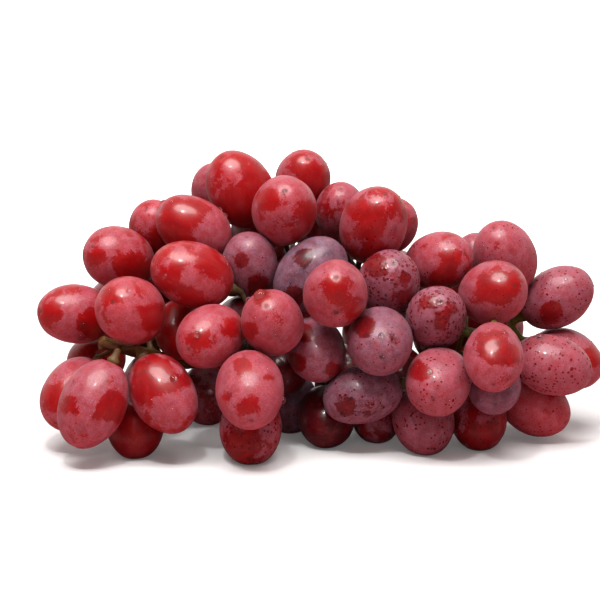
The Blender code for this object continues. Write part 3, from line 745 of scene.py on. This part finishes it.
def flesh_group():
    """Colour and gloss of the skin under its bloom, dots and scars; its darkness holds painted shade too."""
    tree, given, result = new_group(
        "Grape skin",
        "ShaderNodeTree",
        (
            ("Place", VECTOR, None), ("Along", FLOAT, 0.0), ("Ripeness", FLOAT, 0.2),
            ("Bloom", FLOAT, 0.5), ("Dots", FLOAT, 0.0),
            ("Red", COLOUR, (0.42, 0.008, 0.016, 1)), ("Dark", COLOUR, (0.10, 0.006, 0.022, 1)),
            ("Red Haze", COLOUR, (0.52, 0.16, 0.22, 1)), ("Blue Haze", COLOUR, (0.32, 0.22, 0.32, 1)),
            ("Scar Colour", COLOUR, SCAR),
            ("Haze", FLOAT, 0.7), ("Bare Roughness", FLOAT, 0.33), ("Bloom Roughness", FLOAT, 0.5),
        ),
        (("Colour", COLOUR), ("Roughness", FLOAT), ("Gloss", FLOAT), ("Scar", FLOAT)),
    )
    mottle = grain(tree, given["Place"], 330.0, detail=4.0, rough=0.6)
    # Painted shade: the skin darkens with this value, which also stands for shade on berries deep or low in
    # the bunch.
    tone = plus(tree, given["Ripeness"], spread(tree, mottle, 0.35, 0.65, -0.16, 0.16), clamp=True)
    skin = blend_colours(tree, tone, given["Red"], given["Dark"])
    drawn_out = vector_calc(tree, "MULTIPLY", given["Place"], (1.0, 1.0, 0.22))
    streaks = grain(tree, drawn_out, 1500.0, detail=2.0, rough=0.5)
    skin = blend_colours(tree, spread(tree, streaks, 0.5, 0.75, 0.0, 0.22), skin, STREAK)
    haze = blend_colours(tree, given["Ripeness"], given["Red Haze"], given["Blue Haze"])
    veil = times(tree, given["Bloom"], given["Haze"])
    unwashed = minus(tree, 1.0, times(tree, given["Dots"], 0.9))
    veil = times(tree, veil, unwashed)
    skin = blend_colours(tree, veil, skin, haze)
    skin = blend_colours(tree, times(tree, given["Dots"], 0.6), skin, WET_SKIN)
    powder = grain(tree, given["Place"], 4800.0, detail=2.0, rough=0.7)
    powder = times(tree, step(tree, powder, 0.53, 0.68), veil)
    skin = blend_colours(tree, times(tree, powder, 0.4), skin, POWDER)
    scar = step(tree, given["Along"], 0.9965, 0.9985)
    stalk = step(tree, given["Along"], -0.985, -0.995)
    skin = blend_colours(tree, times(tree, scar, 0.55), skin, given["Scar Colour"])
    skin = blend_colours(tree, times(tree, stalk, 0.7), skin, STALK_END)
    rough = spread(tree, veil, 0.0, 0.8, given["Bare Roughness"], given["Bloom Roughness"])
    rough = minus(tree, rough, times(tree, given["Dots"], 0.2))
    rough = plus(tree, rough, times(tree, scar, 0.1), clamp=True)
    tree.links.new(skin, result["Colour"])
    tree.links.new(rough, result["Roughness"])
    gloss = times(tree, minus(tree, 1.0, veil, clamp=True), 0.35)
    tree.links.new(gloss, result["Gloss"])
    tree.links.new(scar, result["Scar"])
    return tree


def new_material(name):
    made = bpy.data.materials.new(name)
    made.use_nodes = True
    return made, made.node_tree, made.node_tree.nodes["Principled BSDF"]


def use_group(tree, group, values):
    made = tree.nodes.new("ShaderNodeGroup")
    made.node_tree = group
    for title, value in values.items():
        feed(tree, made.inputs[title], value)
    return made.outputs


def skin_material(name, groups, skin):
    """Grape skin with its bloom, driven by what each berry's mesh says."""
    made, tree, shader = new_material(name)

    def value_of(title, output="Fac"):
        return node(tree, "ShaderNodeAttribute", attribute_name=title).outputs[output]

    place = value_of("skin_place", "Vector")
    bloom = use_group(tree, groups["bloom"], {"Place": place, "Cover": value_of("cover")})
    dots = use_group(tree, groups["dots"], {"Place": place, "Amount": value_of("specks")})
    flesh = use_group(
        tree, groups["flesh"],
        {
            "Place": place, "Along": value_of("along"), "Ripeness": value_of("ripeness"),
            "Bloom": bloom["Thickness"], "Dots": dots["Mask"],
            "Red": (*skin.red, 1), "Dark": (*skin.dark, 1),
            "Red Haze": (*skin.red_haze, 1), "Blue Haze": (*skin.blue_haze, 1), "Haze": skin.haze,
        },
    )
    tree.links.new(flesh["Colour"], shader.inputs["Base Color"])
    tree.links.new(flesh["Roughness"], shader.inputs["Roughness"])
    tree.links.new(flesh["Gloss"], shader.inputs["Coat Weight"])
    shader.inputs["Coat Roughness"].default_value = 0.1
    crust = times(tree, bloom["Thickness"], 0.06)
    height = plus(tree, crust, times(tree, dots["Height"], 0.9))
    height = plus(tree, height, times(tree, grain(tree, place, 900.0), 0.05))
    height = plus(tree, height, times(tree, flesh["Scar"], 0.15))
    bump = node(tree, "ShaderNodeBump", {"Height": height, "Strength": 0.6, "Distance": 0.0004})
    tree.links.new(bump.outputs[0], shader.inputs["Normal"])
    shader.inputs["Subsurface Weight"].default_value = skin.glow
    shader.inputs["Subsurface Radius"].default_value = LIGHT_IN_FLESH
    shader.inputs["Subsurface Scale"].default_value = skin.glow_depth
    shader.inputs["IOR"].default_value = 1.45
    shader.inputs["Sheen Weight"].default_value = skin.sheen
    shader.inputs["Sheen Roughness"].default_value = 0.45
    shader.inputs["Sheen Tint"].default_value = SHEEN_TINT
    return made


def wood_material(name, stem):
    """Green stalk, brown and corky towards the cut end, and painted dark as shade deep in the bunch."""
    made, tree, shader = new_material(name)
    place = node(tree, "ShaderNodeTexCoord").outputs["Object"]
    dry = node(tree, "ShaderNodeAttribute", attribute_name="dry").outputs["Fac"]
    mottle = grain(tree, place, 350.0, detail=4.0, rough=0.65, bend=0.3)
    fresh = node(tree, "ShaderNodeAttribute", attribute_name="fresh").outputs["Fac"]
    # Painted shade: away from the green end the stalks take a dark colour that stands for the shade inside
    # the bunch.
    colour = blend_colours(tree, fresh, (*stem.painted_shade_wood, 1), (*stem.young, 1))
    tone = plus(tree, dry, spread(tree, mottle, 0.3, 0.7, -0.3, 0.3), clamp=True)
    colour = blend_colours(tree, tone, colour, (*stem.woody, 1))
    corks = grain(tree, place, 1600.0, rough=0.6)
    colour = blend_colours(tree, step(tree, corks, 0.58, 0.66), colour, CORK)
    tips = node(tree, "ShaderNodeAttribute", attribute_name="tip").outputs["Fac"]
    colour = blend_colours(tree, times(tree, tips, 0.25), colour, STALK_TIP)
    tree.links.new(colour, shader.inputs["Base Color"])
    tree.links.new(spread(tree, mottle, 0.3, 0.7, 0.42, 0.62), shader.inputs["Roughness"])
    drawn_out = vector_calc(tree, "MULTIPLY", place, (0.35, 1.0, 1.0))
    ridges = grain(tree, drawn_out, 1300.0, rough=0.6)
    height = plus(tree, ridges, times(tree, corks, 0.6))
    bump = node(tree, "ShaderNodeBump", {"Height": height, "Strength": 0.8, "Distance": 0.0003})
    tree.links.new(bump.outputs[0], shader.inputs["Normal"])
    shader.inputs["Subsurface Weight"].default_value = 0.15
    shader.inputs["Subsurface Radius"].default_value = LIGHT_IN_WOOD
    shader.inputs["Subsurface Scale"].default_value = 0.001
    return made


def water_material():
    made, _, shader = new_material("clear_water")
    shader.inputs["Base Color"].default_value = WHITE
    shader.inputs["Roughness"].default_value = 0.02
    shader.inputs["IOR"].default_value = 1.33
    shader.inputs["Transmission Weight"].default_value = 1.0
    return made


def white_material(name, glow, bounce):
    """A white table top that sends light of the bounce colour up to the bunch.

    It glows a little where the eye sees it, and turns plain white away from the bunch.
    """
    made, tree, shader = new_material(name)
    place = node(tree, "ShaderNodeTexCoord").outputs["Object"]
    cloudy = grain(tree, place, 6.0, detail=2.0)
    white = blend_colours(tree, cloudy, *TABLE_TONES)
    shader.inputs["Roughness"].default_value = 0.6
    shader.inputs["Specular IOR Level"].default_value = 0.2
    path = node(tree, "ShaderNodeLightPath").outputs
    seen = path["Is Camera Ray"]
    sent = blend_colours(tree, path["Is Glossy Ray"], (*bounce, 1), TABLE_IN_GLOSS)
    tree.links.new(blend_colours(tree, seen, sent, white), shader.inputs["Base Color"])
    far = vector_calc(tree, "LENGTH", place)
    glow = plus(tree, glow, step(tree, far, *TABLE_FADE))
    shader.inputs["Emission Color"].default_value = WHITE
    tree.links.new(times(tree, seen, glow), shader.inputs["Emission Strength"])
    return made


# Settings that a user would change

def number_of(name, value, text, low=0.0, **kind):
    return FloatProperty(name=name, description=text, default=value, min=low, **kind)


def length_of(name, value, text, low=0.0):
    return number_of(name, value, text, low, unit="LENGTH", precision=5)


def share_of(name, value, text):
    return number_of(name, value, text, max=1.0, subtype="FACTOR")


def power_of(name, value, text):
    return number_of(name, value, text, unit="POWER")


def colour_of(name, value, text):
    return FloatVectorProperty(name=name, description=text, default=value, min=0, max=1, subtype="COLOR")


def count_of(name, value, text, low):
    return IntProperty(name=name, description=text, default=value, min=low)


class GrapeBerrySettings(PropertyGroup):
    growth: length_of("Growth", 0.00022, "How much plumper each berry is than its solid in the model")
    softness: length_of("Softness", 0.00022, "How round the rim is where two berries press together")
    dimple_depth: length_of("Dimple depth", 0.0008, "Depth of the hollow at the stalk")
    dimple_width: length_of("Dimple width", 0.0024, "Width of the hollow at the stalk")
    scar_depth: length_of("Scar depth", 0.0003, "Depth of the dot at the blossom end")
    waviness: length_of("Waviness", 0.0007, "How far a berry strays from a perfect shape")
    segments: count_of("Segments", 56, "Faces around a berry", 12)
    rings: count_of("Rings", 40, "Faces along a berry", 8)


class GrapeSkinSettings(PropertyGroup):
    red: colour_of("Red skin", (0.34, 0.0012, 0.003), "Bare skin of a red berry")
    # This colour is also the painted shade of berries low and at the back of the bunch.
    dark: colour_of("Dark skin", (0.060, 0.002, 0.006), "Bare skin of a ripe, dark berry")
    red_haze: colour_of("Red haze", (0.47, 0.105, 0.145), "Bloom over a red berry")
    blue_haze: colour_of("Blue haze", (0.28, 0.175, 0.265), "Bloom over a dark berry")
    haze: share_of("Haze", 0.67, "How much the bloom hides the skin")
    sheen: share_of("Sheen", 0.04, "Powdery light at the edges of a berry")
    glow: share_of("Glow", 0.7, "Light that passes through the flesh")
    glow_depth: length_of("Glow depth", 0.008, "How far red light travels in the flesh")


class GrapeStemSettings(PropertyGroup):
    grain_size: length_of("Grain size", 0.00042, "Fineness of the stem's surface", 0.0002)
    young: colour_of("Young wood", (0.20, 0.19, 0.03), "Green stalks near the tip of the bunch")
    # Painted shade: the dark colour given to the stalks inside the bunch.
    painted_shade_wood: colour_of("Inner wood", (0.055, 0.035, 0.012), "Stalks deep in the bunch")
    woody: colour_of("Old wood", (0.16, 0.075, 0.018), "Brown parts of the stem, near the cut")


class GrapeDewSettings(PropertyGroup):
    mist: number_of("Mist", 16000.0, "Fine drops per square metre of skin")
    smallest: length_of("Smallest drop", 0.00012, "Half width of the finest drops")
    largest: length_of("Largest mist drop", 0.00034, "Half width of the largest mist drops")
    flatness: share_of("Flatness", 0.7, "Height of a drop over its width")
    seed: count_of("Seed", 4, "Changes where the mist falls", 0)


class GrapeStageSettings(PropertyGroup):
    floor: length_of("Table", 3.0, "Side of the white table top")
    key: power_of("Key light", 8.2, "Power of the overhead light")
    fill: power_of("Fill light", 1.8, "Power of the front light")
    spark: power_of("Spark", 2.2, "Power of the small light that glints")
    bounce: colour_of("Bounce", (0.68, 0.36, 0.37), "Colour of the light that the table sends up")
    table_glow: number_of("Table glow", 0.08, "Own light of the table top")
    sky: number_of("Surroundings", 0.55, "Brightness of the white studio")


# Pieces

class GrapeBerries(Operator):
    """Builds every berry of the bunch"""

    bl_idname = "grapes.berries"
    bl_label = "Berries"

    def execute(self, context):
        look = context.scene.grape_berries
        groups = {"bloom": bloom_group(), "dots": dots_group(), "flesh": flesh_group()}
        skins = {}
        tree = berry_tree()
        berries = all_berries()
        for berry in berries:
            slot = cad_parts[berry.node_name].data.materials[0].name
            if slot not in skins:
                title = slot.replace("skin", "grape")
                skins[slot] = skin_material(title, groups, context.scene.grape_skin)
            others = [b for b in berries if b is not berry]
            near = [b for b in others if np.linalg.norm(b.centre - berry.centre) < NEIGHBOUR]
            add_berry(berry, near, tree, skins[slot], look)
        return {"FINISHED"}


class GrapeStem(Operator):
    """Builds the stem with its stalks and cups"""

    bl_idname = "grapes.stem"
    bl_label = "Stem"

    def execute(self, context):
        add_stem(context.scene.grape_stem)
        return {"FINISHED"}


class GrapeDew(Operator):
    """Builds the mist and the drops of water on the berries"""

    bl_idname = "grapes.dew"
    bl_label = "Dew"

    def execute(self, context):
        add_dew(context.scene.grape_dew)
        return {"FINISHED"}


class GrapeStage(Operator):
    """Builds the white table, the lights and the camera"""

    bl_idname = "grapes.stage"
    bl_label = "Stage"

    def execute(self, context):
        add_stage(context.scene.grape_stage)
        return {"FINISHED"}


class GrapePanel(Panel):
    """The steps and settings of the bunch"""

    bl_idname = "VIEW3D_PT_grapes"
    bl_label = "Bunch of grapes"
    bl_space_type = "VIEW_3D"
    bl_region_type = "UI"
    bl_category = "Grapes"

    def draw(self, context):
        for operator, group in STEPS:
            box = self.layout.box()
            box.operator(operator.bl_idname)
            for title in group:
                settings = getattr(context.scene, title)
                for name in settings.__annotations__:
                    box.prop(settings, name)


# Stem

def add_cups(bm, berry, chance):
    """Adds the swollen cup where the stalk meets the berry."""
    axis = Vector(-berry.direction)
    side = axis.orthogonal().normalized()
    other = axis.cross(side)
    start = Vector(berry.stalk_end())
    loops = []
    for behind, radius in CUP_PROFILE:
        middle = start + axis * behind * MM
        if radius == 0:
            loops.append([bm.verts.new(middle)])
            continue
        loop = []
        for k in range(CUP_SIDES):
            turn = math.tau * k / CUP_SIDES
            bulge = radius * (1 + 0.08 * chance.uniform(-1, 1)) * MM
            loop.append(bm.verts.new(middle + (side * math.cos(turn) + other * math.sin(turn)) * bulge))
        loops.append(loop)
    for first, second in zip(loops, loops[1:]):
        for k in range(CUP_SIDES):
            n = (k + 1) % CUP_SIDES
            corners = [first[k % len(first)], first[n % len(first)]]
            corners += [second[n % len(second)], second[k % len(second)]]
            bm.faces.new(list(dict.fromkeys(corners)))


def add_stem(stem):
    """Joins the model's stem and a cup for each berry into one rough surface."""
    chance = random.Random(5)
    berries = all_berries()
    bm = bmesh.new()
    bm.from_mesh(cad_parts["stem"].data)
    bmesh.ops.remove_doubles(bm, verts=bm.verts, dist=1e-6)
    extra = bmesh.new()
    for berry in berries:
        add_cups(extra, berry, chance)
    bmesh.ops.recalc_face_normals(extra, faces=extra.faces)
    cups = bpy.data.meshes.new("cups")
    extra.to_mesh(cups)
    extra.free()
    bm.from_mesh(cups)
    bpy.data.meshes.remove(cups)
    obj = new_object("bunch_stem")
    bm.to_mesh(obj.data)
    bm.free()
    remesh = obj.modifiers.new("skin", "REMESH")
    remesh.mode, remesh.voxel_size = "VOXEL", stem.grain_size
    remesh.use_smooth_shade = True
    soft = obj.modifiers.new("soft", "SMOOTH")
    soft.factor, soft.iterations = 0.5, 3
    finished(obj)
    points = mesh_points(obj.data)
    normals = np.array([v.normal for v in obj.data.vertices])
    knobs = np.array([noise.noise(Vector(p) * 260) + 0.6 * noise.noise(Vector(p) * 700) for p in points])
    points = points + normals * (0.00012 + 0.00016 * knobs)[:, None]
    points[:, 2] = np.maximum(points[:, 2], STEM_CLEARANCE)
    set_points(obj.data, points)
    far = np.linalg.norm(points - CUT_END, axis=1)
    set_values(obj.data, "dry", np.clip(1.3 - far / DRY_REACH, 0.0, 1))
    # Painted shade: 1 on the green wood, 0 where the stalks are painted dark as shade.
    set_values(obj.data, "fresh", np.clip((points[:, 0] - GREEN_START) / GREEN_FADE, 0, 1))
    tip = np.zeros(len(points))
    for berry in berries:
        far = np.linalg.norm(points - berry.stalk_end(), axis=1)
        tip = np.maximum(tip, np.clip(1.4 - far / TIP_REACH, 0, 1))
    set_values(obj.data, "tip", tip)
    obj.data.materials.clear()
    obj.data.materials.append(wood_material("stem_wood", stem))
    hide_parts("stem")
    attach(obj, BODY)


# Dew

def drop_tree():
    """Flat round drops on points, each as wide as its point's size and turned by its normal."""
    tree, given, result = new_group(
        "Water drops",
        "GeometryNodeTree",
        (
            ("Geometry", GEOMETRY, None), ("Flatness", FLOAT, 0.7), ("Sides", INTEGER, 12),
            ("Water", MATERIAL, None),
        ),
        (("Geometry", GEOMETRY),),
    )
    points = node(tree, "GeometryNodeMeshToPoints", {"Mesh": given["Geometry"]})
    ball = node(tree, "GeometryNodeMeshUVSphere", {"Segments": given["Sides"], "Rings": 8, "Radius": 1.0})

    def value_of(title, kind):
        return node(tree, "GeometryNodeInputNamedAttribute", {"Name": title}, data_type=kind).outputs[0]

    size = value_of("size", "FLOAT")
    facing = value_of("facing", "FLOAT_VECTOR")
    turn = node(tree, "FunctionNodeAlignRotationToVector", {"Vector": facing}, axis="Z")
    tall = times(tree, size, given["Flatness"])
    scale = node(tree, "ShaderNodeCombineXYZ", {0: size, 1: size, 2: tall})
    placed = node(
        tree, "GeometryNodeInstanceOnPoints",
        {
            "Points": points.outputs[0], "Instance": ball.outputs["Mesh"],
            "Rotation": turn.outputs[0], "Scale": scale.outputs[0],
        },
    )
    whole = node(tree, "GeometryNodeRealizeInstances", {"Geometry": placed.outputs[0]})
    smooth = node(tree, "GeometryNodeSetShadeSmooth", {"Geometry": whole.outputs[0], "Shade Smooth": True})
    water = node(tree, "GeometryNodeSetMaterial", {"Geometry": smooth.outputs[0], "Material": given["Water"]})
    tree.links.new(water.outputs[0], result["Geometry"])
    return tree


def mist_points(dew, berries):
    """Random spots on the berries, more of them where the berry is specked."""
    chance = random.Random(dew.seed)
    spots, facing, sizes = [], [], []
    for berry in berries:
        for face in bpy.data.objects[berry.name].data.polygons:
            if face.center.z < MIST_CLEARANCE * dew.largest:
                continue
            wanted = face.area * dew.mist * (0.3 + 1.6 * berry.specks)
            if chance.random() < wanted:
                spots.append(face.center.copy())
                facing.append(face.normal.copy())
                sizes.append(dew.smallest + (dew.largest - dew.smallest) * chance.random() ** 2.5)
    return spots, facing, sizes


def drop_points(berries):
    """The larger drops, each on its own berry."""
    by_number = {b.number: b for b in berries}
    spots, facing, sizes = [], [], []
    for number, x, y, size in DROPS:
        berry = by_number[number]
        data = bpy.data.objects[berry.name].data
        points = mesh_points(data)
        right, up, out = face_places(berry, points)
        reach = np.hypot(right, up)[out > 0].max()
        miss = np.hypot(right - x * reach * DROP_RIM, up - y * reach * DROP_RIM)
        k = int(np.argmin(np.where(out < -0.1, np.inf, miss)))
        spots.append(Vector(points[k]))
        facing.append(data.vertices[k].normal.copy())
        sizes.append(size * MM * DROP_SCALE)
    return spots, facing, sizes


def add_dew(dew):
    """Makes the mist and the larger drops, each as one object."""
    berries = all_berries()
    tree = drop_tree()
    water = water_material()
    for name, (spots, facing, sizes), sides in (
        ("dew_mist", mist_points(dew, berries), 8),
        ("dew_drops", drop_points(berries), 24),
    ):
        obj = new_object(name)
        lifted = [spot + way * size * DROP_LIFT for spot, way, size in zip(spots, facing, sizes)]
        obj.data.from_pydata(lifted, [], [])
        set_values(obj.data, "size", sizes)
        normals = obj.data.attributes.new("facing", "FLOAT_VECTOR", "POINT")
        normals.data.foreach_set("vector", np.array([tuple(f) for f in facing], np.float32).reshape(-1))
        apply_group(obj, tree, {"Sides": sides, "Water": water, "Flatness": dew.flatness})
        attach(obj, BODY)


# Stage

def add_area_light(name, place, size, tint, power):
    light = bpy.data.lights.new(name, "AREA")
    light.shape, light.size, light.size_y = "ELLIPSE", *size
    light.energy, light.color = power, tint
    made = bpy.data.objects.new(name, light)
    bpy.context.scene.collection.objects.link(made)
    made.location = place
    made.rotation_euler = (Vector(LIT_POINT) - Vector(place)).to_track_quat("-Z", "Y").to_euler()
    return made


def add_world(strength):
    """A white studio: white wherever it is seen, darker in front of the bunch in its gloss."""
    world = bpy.data.worlds.new("studio")
    bpy.context.scene.world = world
    world.use_nodes = True
    tree = world.node_tree
    back = tree.nodes["Background"]
    way = node(tree, "ShaderNodeTexCoord").outputs["Generated"]
    parts = node(tree, "ShaderNodeSeparateXYZ", {0: way}).outputs
    path = node(tree, "ShaderNodeLightPath").outputs
    behind = spread(tree, parts[1], -0.2, 0.5, 0.1, 1.0)
    above = spread(tree, parts[2], 0.2, 0.9, 0.0, 0.5)
    light = plus(tree, behind, above, clamp=True)
    glare = spread(tree, parts[1], 0.5, 1.0, 0.0, 0.9)
    light = plus(tree, light, times(tree, glare, path["Is Glossy Ray"]))
    seen = path["Is Camera Ray"]
    white = times(tree, seen, STUDIO_WHITE)
    light = calc(tree, "MAXIMUM", times(tree, light, strength), white)
    tree.links.new(light, back.inputs["Strength"])
    tree.links.new(blend_colours(tree, seen, STUDIO_TINT, WHITE), back.inputs["Color"])


def add_stage(stage):
    half = stage.floor / 2
    corners = [(x * half, y * half, 0) for x, y in ((-1, -1), (1, -1), (1, 1), (-1, 1))]
    floor = new_object("table")
    floor.data.from_pydata(corners, [], [(0, 1, 2, 3)])
    floor.data.materials.append(white_material("white_table", stage.table_glow, stage.bounce))
    for name, place, size, tint in LIGHTS:
        light = add_area_light(name, place, size, tint, getattr(stage, name))
        light.visible_glossy = name != "fill"
    add_world(stage.sky)
    camera = bpy.data.cameras.new("camera")
    camera.lens, camera.sensor_width = CAMERA_LENS, SENSOR
    camera.clip_start, camera.clip_end = CLIP
    eye = new_object("camera", camera)
    eye.location = LOOK_AT + OUT * CAMERA_DISTANCE
    eye.rotation_euler = (Vector(LOOK_AT) - eye.location).to_track_quat("-Z", "Y").to_euler()
    scene = bpy.context.scene
    scene.camera = eye
    scene.view_settings.view_transform = "Standard"
    scene.view_settings.look = "None"


STEPS = (
    (GrapeBerries, ("grape_berries", "grape_skin")),
    (GrapeStem, ("grape_stem",)),
    (GrapeDew, ("grape_dew",)),
    (GrapeStage, ("grape_stage",)),
)
SETTINGS = {
    "grape_berries": GrapeBerrySettings,
    "grape_skin": GrapeSkinSettings,
    "grape_stem": GrapeStemSettings,
    "grape_dew": GrapeDewSettings,
    "grape_stage": GrapeStageSettings,
}
CLASSES = (*SETTINGS.values(), *(operator for operator, _ in STEPS), GrapePanel)


def register():
    for made in CLASSES:
        bpy.utils.register_class(made)
    for title, group in SETTINGS.items():
        setattr(bpy.types.Scene, title, PointerProperty(type=group))


def unregister():
    for title in SETTINGS:
        delattr(bpy.types.Scene, title)
    for made in reversed(CLASSES):
        bpy.utils.unregister_class(made)


def main():
    register()
    bpy.ops.grapes.berries()
    bpy.ops.grapes.stem()
    bpy.ops.grapes.dew()
    bpy.ops.grapes.stage()


if __name__ == "__main__":
    main()
